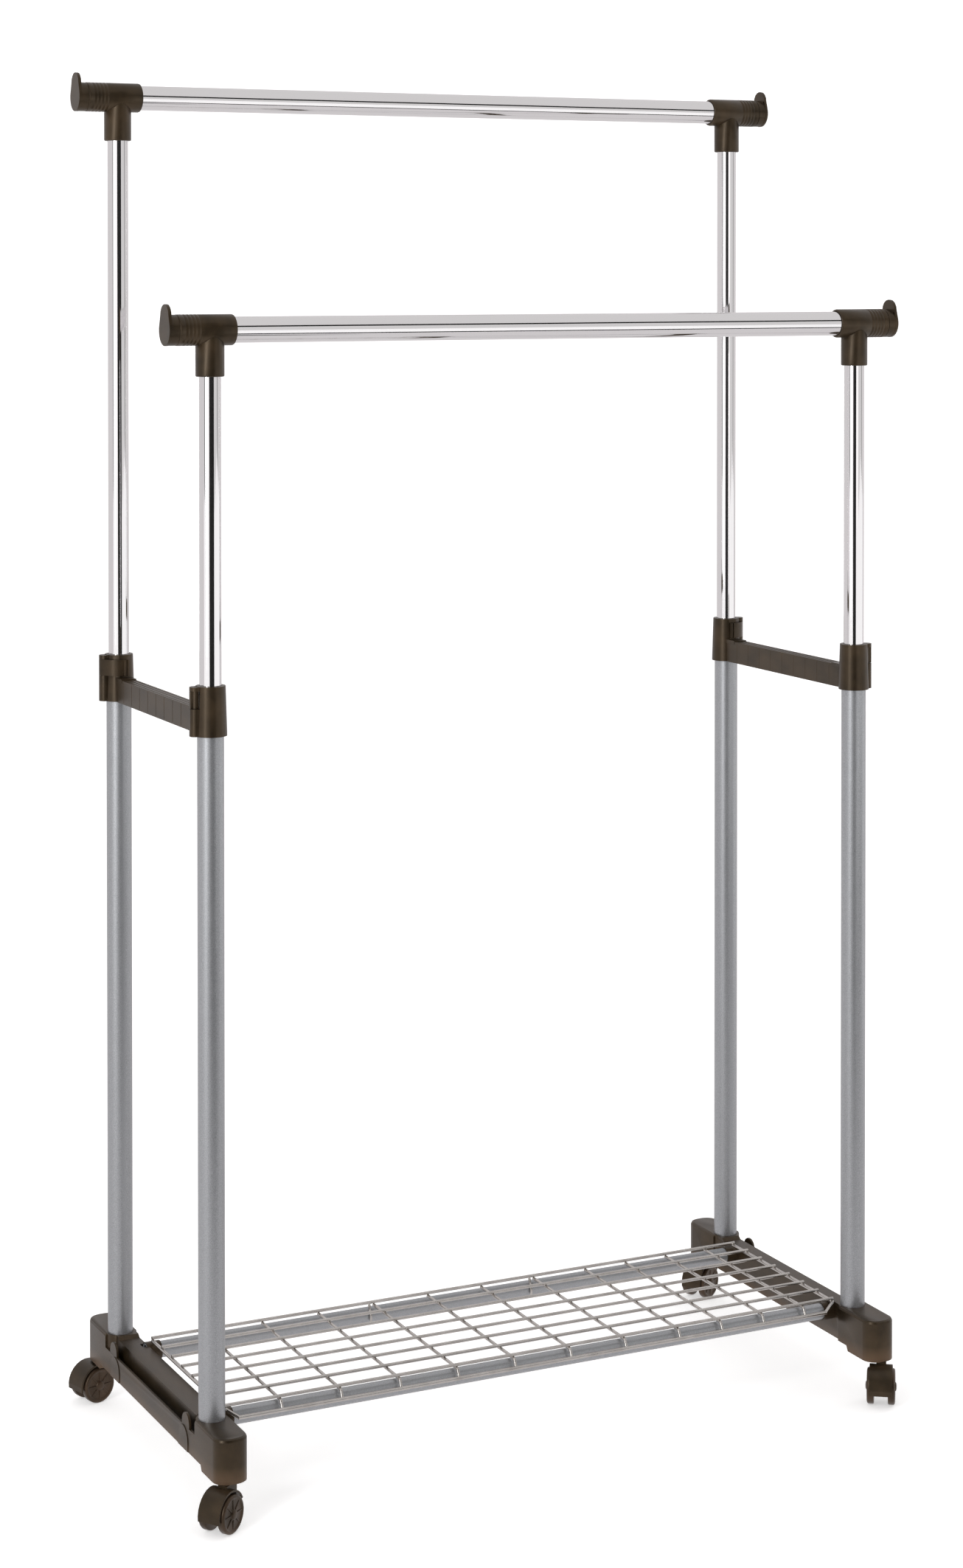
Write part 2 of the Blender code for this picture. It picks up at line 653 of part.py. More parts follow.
def make_caster_stem(side_name, end_name):
    top = BASE_TOP - 0.0150
    profile = [
        (0.0, top),
        (0.003, top),
        (STEM_R, top - 0.0015),
        (STEM_R, 0.0300),
        (0.0, 0.0300),
    ]
    stem = place_caster_piece(turned(profile, sides=16), side_name, end_name)
    return keep(stem, f"caster_stem_{end_name}_{side_name}", "steel")


def make_caster_axle(side_name, end_name):
    axle = rod((CASTER_TRAIL, -0.0148, AXLE_Z), (CASTER_TRAIL, 0.0148, AXLE_Z), AXLE_R, 12)
    place_caster_piece(axle, side_name, end_name)
    return keep(axle, f"caster_axle_{end_name}_{side_name}", "steel")


def make_caster_wheel(side_name, end_name, which):
    """A domed wheel on a blind bore; `which` is +1 or -1 along the axle."""
    profile = [
        (0.0, 0.0176),
        (0.012, 0.0170),
        (WHEEL_R, 0.0150),
        (WHEEL_R, 0.0079),
        (AXLE_R + 0.0004, 0.0079),
        (AXLE_R + 0.0004, 0.0153),
        (0.0, 0.0153),
    ]
    wheel = turned(profile)
    tilt = Matrix.Rotation(-which * math.pi / 2, 4, "X")
    stem_x = SIDES[side_name] * (SPAN / 2 + STEM_OUT)
    stem_y = UPRIGHT_Y[end_name] + ENDS[end_name] * STEM_AHEAD
    swivel = Matrix.Rotation(math.radians(CASTER_TURN[end_name, side_name]), 4, "Z")
    half_facet = Matrix.Rotation(math.pi / ROUND, 4, "Z")
    place = Matrix.Translation((stem_x, stem_y, 0.0)) @ swivel
    place = place @ Matrix.Translation((CASTER_TRAIL, 0.0, AXLE_Z)) @ tilt @ half_facet
    wheel.matrix_world = place
    letter = "a" if which > 0 else "b"
    return keep(wheel, f"caster_wheel_{letter}_{end_name}_{side_name}", "smoke_plastic")


clear_scene()
rack = make_collection("rolling_clothes_rack")
cutters = make_collection("cutters")
materials = {name: make_material(name) for name in COLOURS}

for side_name in SIDES:
    make_base(side_name)
    make_side_brace(side_name)
    for end_name in ENDS:
        make_lower_tube(side_name, end_name)
        make_upper_tube(side_name, end_name)
        make_guide_bush(side_name, end_name)
        make_tee(side_name, end_name)
        make_end_cap(side_name, end_name)
        make_clamp_lever(side_name, end_name)
        make_lever_pin(side_name, end_name)
        make_caster_hood(side_name, end_name)
        make_caster_stem(side_name, end_name)
        make_caster_axle(side_name, end_name)
        make_caster_wheel(side_name, end_name, 1)
        make_caster_wheel(side_name, end_name, -1)
for end_name in ENDS:
    make_rail(end_name)
    make_shelf_tube(end_name)
make_shelf_grid()
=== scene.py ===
# %% [markdown]
# # A rolling clothes rack
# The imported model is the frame: it fixes where every part is and how big it is. This script
# builds the looks around it, one kind of part at a time, and never moves a frame part.
# Everything is in metres, with +Z up, the floor at zero and the front of the rack at -Y.

# %% Load the frame
import json
import math

import bmesh
import bpy
from mathutils import Matrix, Vector


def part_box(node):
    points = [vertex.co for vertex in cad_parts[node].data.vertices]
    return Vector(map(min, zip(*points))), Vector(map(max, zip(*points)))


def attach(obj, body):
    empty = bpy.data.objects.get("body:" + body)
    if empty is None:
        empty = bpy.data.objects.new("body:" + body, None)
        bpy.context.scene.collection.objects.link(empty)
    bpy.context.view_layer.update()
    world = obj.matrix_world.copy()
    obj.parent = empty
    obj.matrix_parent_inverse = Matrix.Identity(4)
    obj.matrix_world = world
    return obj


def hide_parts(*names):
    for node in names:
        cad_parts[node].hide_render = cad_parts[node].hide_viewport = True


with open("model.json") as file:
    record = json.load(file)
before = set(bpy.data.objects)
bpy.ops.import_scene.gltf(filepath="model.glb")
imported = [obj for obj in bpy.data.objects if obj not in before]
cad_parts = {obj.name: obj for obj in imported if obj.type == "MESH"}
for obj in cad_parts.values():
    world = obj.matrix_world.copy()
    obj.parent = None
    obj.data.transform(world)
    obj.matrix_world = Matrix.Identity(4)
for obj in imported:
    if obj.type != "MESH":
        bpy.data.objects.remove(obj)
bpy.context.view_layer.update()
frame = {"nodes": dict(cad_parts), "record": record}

# %% [markdown]
# Most parts come in fours, one at each corner. Two small tables turn the words used in the
# node names into directions, and the upright's centre line is read from its lower tube.

# %% Corners of the rack
SIDES = {"left": -1.0, "right": 1.0}
ENDS = {"front": -1.0, "rear": 1.0}
CORNERS = [(end, side) for end in ENDS for side in SIDES]


def middle(node):
    """The middle of a frame node's box."""
    low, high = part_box(node)
    return (low + high) / 2


def upright(end, side):
    """Plan position of an upright's centre line."""
    centre = middle(f"lower_tube_{end}_{side}")
    return centre.x, centre.y


print("uprights:", {corner: upright(*corner) for corner in CORNERS})

# %% [markdown]
# Shader maths reads best as arithmetic. Adding and linking each Math node by hand would take
# several lines for every sum, so a small class wraps a socket instead, and `a * b + 0.2` adds
# the nodes for it.


# %% A socket that does arithmetic
class Value:
    """A socket, or a number, that builds Math nodes as it is added and multiplied."""

    def __init__(self, tree, socket):
        self.tree = tree
        self.socket = socket

    def math(self, operation, *values):
        node = self.tree.nodes.new("ShaderNodeMath")
        node.operation = operation
        for place, value in enumerate((self, *values)):
            plug(self.tree, node.inputs[place], value)
        return Value(self.tree, node.outputs[0])

    def __add__(self, other):
        return self.math("ADD", other)

    def __mul__(self, other):
        return self.math("MULTIPLY", other)

    def __sub__(self, other):
        return self.math("SUBTRACT", other)

    def __rsub__(self, other):
        return (self * -1.0) + other

    __radd__ = __add__
    __rmul__ = __mul__

    def clamp(self):
        return self.math("MAXIMUM", 0.0).math("MINIMUM", 1.0)

    def step(self, low, high):
        """0 below `low`, 1 above `high`, and a straight ramp between them."""
        return ((self - low) * (1.0 / (high - low))).clamp()


def plug(tree, socket, value):
    """Links a wire into a socket, or sets the socket's own value."""
    if isinstance(value, Value):
        tree.links.new(value.socket, socket)
    elif isinstance(value, (tuple, list)) and socket.type == "RGBA":
        socket.default_value = (*value[:3], 1.0)
    else:
        socket.default_value = value


print("shader maths ready")

# %% [markdown]
# A finish is a material with one Principled shader. One method adds any other node: its type,
# its settings first, then the values or links of its sockets. Patterns are laid out in Object
# coordinates, which stay fixed to a piece when its body moves.


# %% A finish and its nodes
class Finish:
    """A named material with its Principled shader and helpers to wire it."""

    def __init__(self, name, colour, roughness, metallic=0.0):
        self.material = bpy.data.materials.new(name)
        self.material.use_nodes = True
        self.tree = self.material.node_tree
        self.shader = self.tree.nodes["Principled BSDF"]
        self.set("Base Color", colour)
        self.set("Roughness", roughness)
        self.set("Metallic", metallic)
        self.place = self.node("ShaderNodeTexCoord", out="Object")

    def node(self, kind, settings=None, values=None, out=0):
        made = self.tree.nodes.new(kind)
        for key, value in (settings or {}).items():
            setattr(made, key, value)
        for key, value in (values or {}).items():
            plug(self.tree, made.inputs[key], value)
        return Value(self.tree, made.outputs[out])

    def set(self, socket, value):
        plug(self.tree, self.shader.inputs[socket], value)

    def noise(self, size, detail=2.0, stretch=(1.0, 1.0, 1.0)):
        """Noise whose patches are about `size` metres across."""
        values = {"Vector": self.place, "Scale": stretch}
        place = self.node("ShaderNodeMapping", values=values)
        values = {"Vector": place, "Scale": 1.0 / size, "Detail": detail}
        return self.node("ShaderNodeTexNoise", values=values, out="Fac")

    def blend(self, amount, first, second):
        """A colour between two others."""
        made = self.tree.nodes.new("ShaderNodeMix")
        made.data_type = "RGBA"
        sockets = [s for s in made.inputs if s.enabled]
        for socket, value in zip(sockets, (amount, first, second)):
            plug(self.tree, socket, value)
        return Value(self.tree, next(s for s in made.outputs if s.enabled))

    def bump(self, height, depth, strength=1.0):
        values = {"Height": height, "Distance": depth, "Strength": strength}
        self.set("Normal", self.node("ShaderNodeBump", values=values, out="Normal"))


def axis_of(finish, name):
    """One coordinate, X, Y or Z, of the place on the piece."""
    return finish.node("ShaderNodeSeparateXYZ", values={"Vector": finish.place}, out=name)


print("finish helpers ready")

# %% [markdown]
# The mouldings are a dark smoke-brown plastic with a little colour depth. The melt leaves soft
# streaks along each foot, and a fine moulded grain breaks up the highlights. The thin lower
# edges of the feet are painted lighter and warmer, a painted glow for light that gets into them.


# %% Smoke-brown plastic
SHEEN_TINT = (1.0, 0.80, 0.60, 1.0)


def smoke_plastic(name, dark, warm, edge=None):
    finish = Finish(name, dark, 0.42)
    cloud = finish.noise(0.045, detail=3.0)
    streak = finish.noise(0.012, detail=2.0, stretch=(1.0, 0.25, 0.7))
    grain = finish.noise(0.0009, detail=1.0)
    amount = (cloud * 0.6 + streak * 0.4).step(0.36, 0.68)
    colour = finish.blend(amount, dark, warm)
    # Painted glow: the lowest part of a foot is painted lighter and warmer, for light shining
    # into its thin edges.
    if edge:
        low, high, glow = edge
        rim = 1 - axis_of(finish, "Z").step(low, high)
        colour = finish.blend(rim * (cloud * 0.8 + 0.3).clamp(), colour, glow)
    finish.set("Base Color", colour)
    finish.set("Roughness", grain * 0.12 + cloud * 0.10 + 0.22)
    finish.shader.inputs["Specular Tint"].default_value = SHEEN_TINT
    finish.bump(grain, 0.00005, 0.35)
    return finish.material


DARK_SMOKE = (0.010, 0.0070, 0.0036)
WARM_SMOKE = (0.037, 0.0240, 0.0125)
# Painted glow: the colour of the feet's thin lower edges, standing in for light shining into
# them.
PAINTED_EDGE_GLOW = (0.100, 0.060, 0.036)
DARK_WHEEL, WARM_WHEEL = (0.014, 0.0085, 0.0048), (0.060, 0.036, 0.023)
foot_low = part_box("base_left")[0].z
# The painted glow is full below 3 mm and fades out by 17 mm above the bottom of the feet.
foot_painted_glow = (foot_low + 0.003, foot_low + 0.017, PAINTED_EDGE_GLOW)
PLASTIC = smoke_plastic("smoke_plastic", DARK_SMOKE, WARM_SMOKE)
FOOT_PLASTIC = smoke_plastic("smoke_plastic_foot", DARK_SMOKE, WARM_SMOKE, foot_painted_glow)
WHEEL_PLASTIC = smoke_plastic("smoke_plastic_wheel", DARK_WHEEL, WARM_WHEEL)
print("made", PLASTIC.name, FOOT_PLASTIC.name, WHEEL_PLASTIC.name)


# %% [markdown]
# The rails and upper tubes are chrome plated. Chrome has no colour of its own, so the finish
# is nearly a mirror, with just enough unevenness to keep the streaks from looking printed.


# %% Chrome plate
def chrome_plate():
    finish = Finish("chrome_plate", (0.86, 0.85, 0.86), 0.07, 1.0)
    haze = finish.noise(0.03, detail=4.0)
    finish.set("Roughness", haze * 0.04 + 0.03)
    return finish.material


CHROME = chrome_plate()
print("made", CHROME.name)


# %% [markdown]
# The lower tubes are painted with silver metallic paint. The flakes show as a fine grain, so
# both the colour and the roughness vary at well under a millimetre.


# %% Silver metallic paint
def silver_paint():
    finish = Finish("silver_metallic_paint", (0.32, 0.33, 0.35), 0.33, 0.78)
    flake = finish.noise(0.0007, detail=2.0)
    cloud = finish.noise(0.02, detail=2.0)
    dark, pale = (0.300, 0.310, 0.326), (0.490, 0.502, 0.520)
    finish.set("Base Color", finish.blend(flake.step(0.3, 0.7), dark, pale))
    finish.set("Roughness", cloud * 0.08 + flake * 0.12 + 0.27)
    finish.bump(flake, 0.00003, 0.4)
    return finish.material


SILVER = silver_paint()
print("made", SILVER.name)


# %% [markdown]
# The shelf is bright plated wire. Drawing the wire leaves faint lines along it, and the
# plating is duller than chrome. The lever pins and casters have plain steel in them, and the
# guide bushes inside the uprights are black plastic.


# %% Plated wire, plain steel and black plastic
def plated_wire():
    finish = Finish("plated_wire", (0.62, 0.60, 0.585), 0.24, 1.0)
    drawn = finish.noise(0.001, detail=2.0, stretch=(0.08, 1.0, 1.0))
    cloud = finish.noise(0.015, detail=2.0)
    finish.set("Base Color", finish.blend(cloud, (0.45, 0.425, 0.40), (0.72, 0.695, 0.67)))
    finish.set("Roughness", drawn * 0.12 + 0.13)
    return finish.material


def plain_steel():
    finish = Finish("plain_steel", (0.42, 0.42, 0.42), 0.35, 1.0)
    finish.set("Roughness", finish.noise(0.002) * 0.2 + 0.25)
    return finish.material


def black_plastic():
    finish = Finish("black_plastic", (0.02, 0.02, 0.02), 0.5)
    finish.set("Roughness", finish.noise(0.001) * 0.2 + 0.4)
    return finish.material


WIRE = plated_wire()
STEEL = plain_steel()
BLACK = black_plastic()
print("made", WIRE.name, STEEL.name, BLACK.name)

# %% [markdown]
# Frame nodes keep their shape, so each first gets the finish of its own kind. Pieces made
# further down stand in for the ones that need more detail.

# %% Finishes for the frame nodes
FINISHES = {
    "smoke_plastic": PLASTIC,
    "chrome": CHROME,
    "silver_paint": SILVER,
    "zinc_wire": WIRE,
    "steel": STEEL,
    "black_plastic": BLACK,
}
SLOT_OF = {s["node"]: s["material_slot"] for s in frame["record"]["subparts"]}
BODY_OF = {
    node: body
    for body, nodes in frame["record"]["behaviour"]["bodies"].items()
    for node in nodes
}
for name, node in frame["nodes"].items():
    node.data.materials.clear()
    node.data.materials.append(FINISHES[SLOT_OF[name]])
print("finishes assigned")


# %% [markdown]
# Every piece ends the same way: it takes its finish, rides on its part's body and stands in
# for the frame node. One helper does that, and another makes a mesh from a bmesh.


# %% Finishing a piece
def to_object(name, bm, smooth_angle=40.0):
    """A mesh object at the origin from a bmesh, shaded smooth up to an angle."""
    mesh = bpy.data.meshes.new(name)
    bm.to_mesh(mesh)
    bm.free()
    mesh.shade_smooth()
    mesh.set_sharp_from_angle(angle=math.radians(smooth_angle))
    obj = bpy.data.objects.new(name, mesh)
    bpy.context.scene.collection.objects.link(obj)
    return obj


def stand_in(obj, node, finish=None):
    """The piece takes the node's finish, rides on its body and is shown in its place."""
    obj.data.materials.clear()
    obj.data.materials.append(finish or FINISHES[SLOT_OF[node]])
    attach(obj, BODY_OF[node])
    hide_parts(node)
    return obj


print("helpers for pieces ready")


# %% [markdown]
# A tube, a sleeve or a wheel is a turned shape: a profile swept round an axis. The profile is a
# list of (radius, height) points, and sharp corners can be rounded by a short arc. A Screw
# modifier would sweep it too, but sweeping it here puts the mesh straight on its own axis.


# %% Turned pieces
def rounded(profile, radius, steps=3):
    """The closed profile with each corner cut back by an arc of about this radius."""
    points = []
    count = len(profile)
    for i in range(count):
        here = Vector(profile[i])
        before = Vector(profile[i - 1]) - here
        after = Vector(profile[(i + 1) % count]) - here
        reach = min(radius, before.length * 0.45, after.length * 0.45)
        start = here + before.normalized() * reach
        end = here + after.normalized() * reach
        for step in range(steps + 1):
            t = step / steps
            points.append(start * (1 - t) ** 2 + here * 2 * t * (1 - t) + end * t**2)
    return points


def turned(name, profile, matrix, sides=64, closed=True):
    """Sweeps a profile round Z and places it. An open profile ends on the axis."""
    bm = bmesh.new()
    rings = []
    for side in range(sides):
        angle = 2 * math.pi * side / sides
        turn = Vector((math.cos(angle), math.sin(angle)))
        ring = [bm.verts.new((r * turn.x, r * turn.y, z)) for r, z in profile]
        rings.append(ring)
    count = len(profile)
    for side in range(sides):
        ring, following = rings[side], rings[(side + 1) % sides]
        for i in range(count if closed else count - 1):
            j = (i + 1) % count
            bm.faces.new((ring[i], following[i], following[j], ring[j]))
    bmesh.ops.remove_doubles(bm, verts=bm.verts, dist=0.000001)
    bmesh.ops.recalc_face_normals(bm, faces=bm.faces)
    bmesh.ops.transform(bm, matrix=matrix, verts=bm.verts)
    return to_object(name, bm)


def along(axis, centre):
    """A matrix that turns Z to the given direction and moves to the centre."""
    turn = Vector(axis).to_track_quat("Z", "Y").to_matrix().to_4x4()
    return Matrix.Translation(Vector(centre)) @ turn


print("turning helpers ready")

# %% [markdown]
# The uprights, rails and shelf tubes are plain drawn tube. A cylinder with a Solidify modifier
# would do, but a turned profile also gives the small rolled edge at each end. Their ends, radii
# and lengths all come from the frame's boxes, so each one is a single call.

# %% Tubes
TUBE_WALL = 0.001


def tube_between(name, start, end, radius, wall):
    """A round tube with rolled ends between two points."""
    start, end = Vector(start), Vector(end)
    length = (end - start).length
    inner, inset = radius - wall, 0.002
    # The extra point near each end keeps the rolled edge from tilting the long faces' shading.
    profile = [(radius, 0), (radius, inset), (radius, length - inset), (radius, length)]
    profile += [(inner, length), (inner, length - inset), (inner, inset), (inner, 0)]
    return turned(name, rounded(profile, wall * 0.45), along(end - start, start))


for end, side in CORNERS:
    x, y = upright(end, side)
    for kind in ("lower_tube", "upper_tube"):
        node = f"{kind}_{end}_{side}"
        low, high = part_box(node)
        radius = (high.x - low.x) / 2
        piece = tube_between(f"{node}_drawn", (x, y, low.z), (x, y, high.z), radius, TUBE_WALL)
        stand_in(piece, node)
for end in ENDS:
    for kind in ("rail", "shelf_tube"):
        node = f"{kind}_{end}"
        low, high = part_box(node)
        centre = (low + high) / 2
        radius = (high.z - low.z) / 2
        start, stop = (low.x, centre.y, centre.z), (high.x, centre.y, centre.z)
        stand_in(tube_between(f"{node}_drawn", start, stop, radius, TUBE_WALL), node)
print("made", 2 * len(CORNERS) + 2 * len(ENDS), "tubes")


# %% [markdown]
# Each T-fitting is a sleeve on the rail with a collar under it. The sleeve is turned, and its
# profile carries the ring ridges near the outer end, so they need no modelling of their own.

# %% Sleeve of a T-fitting
SLEEVE_R = 0.0163
SLEEVE_BORE = 0.0141
RIDGES = 5
RIDGE_PITCH = 0.0042
RIDGE_HEIGHT = 0.00035


def sleeve_profile(length):
    """Sleeve profile from its inner end at 0 to its outer end, with the ring ridges."""
    outer = [(SLEEVE_R - 0.0014, 0.0), (SLEEVE_R - 0.0004, 0.0006), (SLEEVE_R, 0.0018)]
    first = length - 0.003 - RIDGES * RIDGE_PITCH
    for ridge in range(RIDGES):
        start = first + ridge * RIDGE_PITCH
        outer.append((SLEEVE_R, start))
        outer.append((SLEEVE_R - RIDGE_HEIGHT, start + 0.0005))
        outer.append((SLEEVE_R - RIDGE_HEIGHT, start + 0.0012))
        outer.append((SLEEVE_R + 0.0001, start + 0.0019))
    outer.append((SLEEVE_R, length - 0.0006))
    outer.append((SLEEVE_R - 0.0006, length))
    return outer + [(SLEEVE_BORE, length), (SLEEVE_BORE, 0.0)]


print("sleeve profile has", len(sleeve_profile(0.05)), "points")

# %% [markdown]
# The collar is lofted up to meet the sleeve: at every angle it ends in a narrow groove just
# under the sleeve's round surface, which draws the arched seam. A Boolean would join the two as
# well, but a loft gives clean rows of faces along the arch.

# %% Collar of a T-fitting
COLLAR_R = 0.0151
COLLAR_BORE = 0.0119
GROOVE, GROOVE_DEPTH = 0.0009, 0.0008


def collar_loft(name, drop, sides=96):
    """The collar below the sleeve, in the fitting's own place: Z up, sleeve along X."""
    bm = bmesh.new()
    rings = []
    for i in range(sides):
        angle = 2 * math.pi * i / sides
        cos, sin = math.cos(angle), math.sin(angle)
        path = [(COLLAR_BORE, -0.010), (COLLAR_BORE, -drop + 0.0006)]
        path += [(COLLAR_BORE + 0.0007, -drop), (COLLAR_R - 0.0009, -drop)]
        path += [(COLLAR_R - 0.0002, -drop + 0.0005), (COLLAR_R, -drop + 0.0015)]
        edge = -math.sqrt(SLEEVE_R**2 - (COLLAR_R * sin) ** 2) - GROOVE
        neck = COLLAR_R - GROOVE_DEPTH
        path += [(COLLAR_R, edge - 0.0006), (COLLAR_R - 0.0002, edge - 0.0001)]
        path += [(neck + 0.0003, edge), (neck, edge + 0.0002), (neck, edge + GROOVE + 0.002)]
        rings.append([bm.verts.new((r * cos, r * sin, z)) for r, z in path])
    count = len(rings[0])
    for i in range(sides):
        ring, following = rings[i], rings[(i + 1) % sides]
        for j in range(count):
            k = (j + 1) % count
            bm.faces.new((ring[j], following[j], following[k], ring[k]))
    bmesh.ops.recalc_face_normals(bm, faces=bm.faces)
    return to_object(name, bm)


print("collar groove:", GROOVE, "high and", GROOVE_DEPTH, "deep")

# %% [markdown]
# A sleeve and its collar become one mesh. Its place goes into the mesh itself, so that the
# object stays at the origin and its pattern stays straight.


# %% T-fittings
def join(first, *others):
    """Adds the other pieces' meshes to the first and removes them."""
    bm = bmesh.new()
    for obj in (first, *others):
        bm.from_mesh(obj.data)
    bm.to_mesh(first.data)
    bm.free()
    for obj in others:
        bpy.data.objects.remove(obj)
    return first


def place_mesh(obj, matrix):
    """Moves the mesh and leaves the object at the origin."""
    obj.data.transform(matrix)
    return obj


for end, side in CORNERS:
    node = f"tee_{end}_{side}"
    x, y = upright(end, side)
    z = middle(f"rail_{end}").z
    low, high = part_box(node)
    outward = SIDES[side]
    inner = (x - low.x) if outward > 0 else (high.x - x)
    length = high.x - low.x
    start = (x - outward * inner, y, z)
    sleeve = turned(f"{node}_moulding", sleeve_profile(length), along((outward, 0, 0), start))
    collar = collar_loft("collar", z - low.z)
    place_mesh(collar, Matrix.Translation((x, y, z)))
    stand_in(join(sleeve, collar), node)
print("made", len(CORNERS), "T-fittings")

# %% [markdown]
# The other mouldings, with their flat faces and pockets, already have the right shape in the
# frame. Real mouldings have no knife edges, so each is copied and its edges are rounded with a
# Bevel modifier. Modelling them again would only risk moving a pocket or a pin hole.

# %% Mouldings with eased edges
FOOT_EDGE, BRACE_EDGE = 0.0007, 0.0006
SMALL_EDGES = {"end_cap": 0.0008, "clamp_lever": 0.0004, "caster_hood": 0.0006}


def baked(obj):
    """The object's modifiers applied, by making a plain mesh of the evaluated object."""
    bpy.context.view_layer.update()
    graph = bpy.context.evaluated_depsgraph_get()
    mesh = bpy.data.meshes.new_from_object(obj.evaluated_get(graph))
    obj.modifiers.clear()
    obj.data = mesh
    return obj


def eased(node, width, segments=3, angle=30.0):
    """A copy of a frame node with its loose triangles merged and its edges rounded."""
    bm = bmesh.new()
    bm.from_mesh(frame["nodes"][node].data)
    bmesh.ops.remove_doubles(bm, verts=bm.verts, dist=0.00002)
    bmesh.ops.dissolve_limit(
        bm, angle_limit=math.radians(1.0), verts=bm.verts, edges=bm.edges
    )
    piece = to_object(f"{node}_moulding", bm, angle)
    bevel = piece.modifiers.new("Eased edges", "BEVEL")
    bevel.width = width
    bevel.segments = segments
    bevel.limit_method = "ANGLE"
    bevel.angle_limit = math.radians(angle)
    bevel.harden_normals = True
    return baked(piece)


for side in SIDES:
    stand_in(eased(f"base_{side}", FOOT_EDGE), f"base_{side}", FOOT_PLASTIC)
    stand_in(eased(f"side_brace_{side}", BRACE_EDGE), f"side_brace_{side}")
for end, side in CORNERS:
    for kind, width in SMALL_EDGES.items():
        node = f"{kind}_{end}_{side}"
        stand_in(eased(node, width), node)
print("eased the mouldings")

# %% [markdown]
# What repeats is grown by Geometry Nodes. Copying meshes in a loop would work as well, but in a
# tree the count and the step stay named inputs. Each tree is built from those inputs and a few
# nodes, and ends by making its copies real and giving them their material.


# %% Building a tree
def geometry_tree(name, inputs):
    """A tree with a geometry in, a geometry out and the named inputs in between."""
    tree = bpy.data.node_groups.new(name, "GeometryNodeTree")
    tree.interface.new_socket("Geometry", in_out="OUTPUT", socket_type="NodeSocketGeometry")
    tree.interface.new_socket("Geometry", in_out="INPUT", socket_type="NodeSocketGeometry")
    for label, kind in inputs.items():
        tree.interface.new_socket(label, in_out="INPUT", socket_type=f"NodeSocket{kind}")
    return tree, tree.nodes.new("NodeGroupInput").outputs


def grow(tree, kind, values=None, settings=None):
    """Adds a geometry node with its settings and the values or links of its sockets."""
    node = tree.nodes.new(kind)
    for key, value in (settings or {}).items():
        setattr(node, key, value)
    for key, value in (values or {}).items():
        if isinstance(value, bpy.types.NodeSocket):
            tree.links.new(value, node.inputs[key])
        else:
            node.inputs[key].default_value = value
    return node.outputs[0]


def finish_tree(tree, geometry, material):
    """Every tree ends alike: instances made real, then the material."""
    real = grow(tree, "GeometryNodeRealizeInstances", {"Geometry": geometry})
    values = {"Geometry": real, "Material": material}
    made = grow(tree, "GeometryNodeSetMaterial", values)
    tree.links.new(made, tree.nodes.new("NodeGroupOutput").inputs[0])
    return tree


print("tree helpers ready")

# %% [markdown]
# A tree runs as a modifier on a path or a small mesh. Its inputs are set by the sockets'
# identifiers before it is first evaluated, and the result is kept as a plain mesh.


# %% Running a tree
def grown(name, tree, inputs, points, edges=(), faces=()):
    """Runs a tree on a path or a small mesh."""
    mesh = bpy.data.meshes.new(name)
    mesh.from_pydata([tuple(point) for point in points], list(edges), list(faces))
    obj = bpy.data.objects.new(name, mesh)
    bpy.context.scene.collection.objects.link(obj)
    modifier = obj.modifiers.new("Grow", "NODES")
    modifier.node_group = tree
    for item in tree.interface.items_tree:
        if item.in_out == "INPUT" and item.name in inputs:
            modifier[item.identifier] = inputs[item.name]
    baked(obj)
    obj.data.shade_smooth()
    obj.data.set_sharp_from_angle(angle=math.radians(40.0))
    return obj


def along_path(points):
    """Points and the edges that join them in order."""
    return points, [(i, i + 1) for i in range(len(points) - 1)]


print("growing helpers ready")

# %% [markdown]
# The shelf is rows of round wire. One tree bends a path, sweeps a round section along it and
# repeats the wire at even steps, so each kind of wire is one call: the eight long wires, the
# cross wires in their wide and narrow bays, the two end wires, the lip and the hooks.

# %% Rows of wire
tree, given = geometry_tree(
    "wire_rows",
    {
        "Count": "Int",
        "Step": "Vector",
        "Radius": "Float",
        "Bend": "Float",
        "Sides": "Int",
        "Material": "Material",
    },
)
path = grow(tree, "GeometryNodeMeshToCurve", {"Mesh": given["Geometry"]})
bent = grow(
    tree,
    "GeometryNodeFilletCurve",
    {"Curve": path, "Radius": given["Bend"], "Count": 5, "Limit Radius": True},
    {"mode": "POLY"},
)
ring = grow(
    tree,
    "GeometryNodeCurvePrimitiveCircle",
    {"Resolution": given["Sides"], "Radius": given["Radius"]},
)
swept = grow(
    tree,
    "GeometryNodeCurveToMesh",
    {"Curve": bent, "Profile Curve": ring, "Fill Caps": True},
)
places = grow(
    tree,
    "GeometryNodeMeshLine",
    {"Count": given["Count"], "Offset": given["Step"]},
    {"mode": "OFFSET"},
)
copies = grow(tree, "GeometryNodeInstanceOnPoints", {"Points": places, "Instance": swept})
WIRE_ROWS = finish_tree(tree, copies, given["Material"])


WIRE_SIDES = 14


def wire_rows(name, points, radius, count=1, step=(0, 0, 0), bend=0.004, material=None):
    """Wires of one kind, each a step beyond the last."""
    inputs = {
        "Count": count,
        "Step": step,
        "Radius": radius,
        "Bend": bend,
        "Sides": WIRE_SIDES,
        "Material": material or WIRE,
    }
    return grown(name, WIRE_ROWS, inputs, *along_path(points))


print("tree", WIRE_ROWS.name, "has", len(WIRE_ROWS.nodes), "nodes")

# %% [markdown]
# The wires are welded where they cross, the long ones on top. The cross wires bend down at the
# front to a lip, and small hooks at the back hold the shelf on its rear tube. All heights and
# depths are measured from the two shelf tubes, so the wires rest where the frame's grid does.

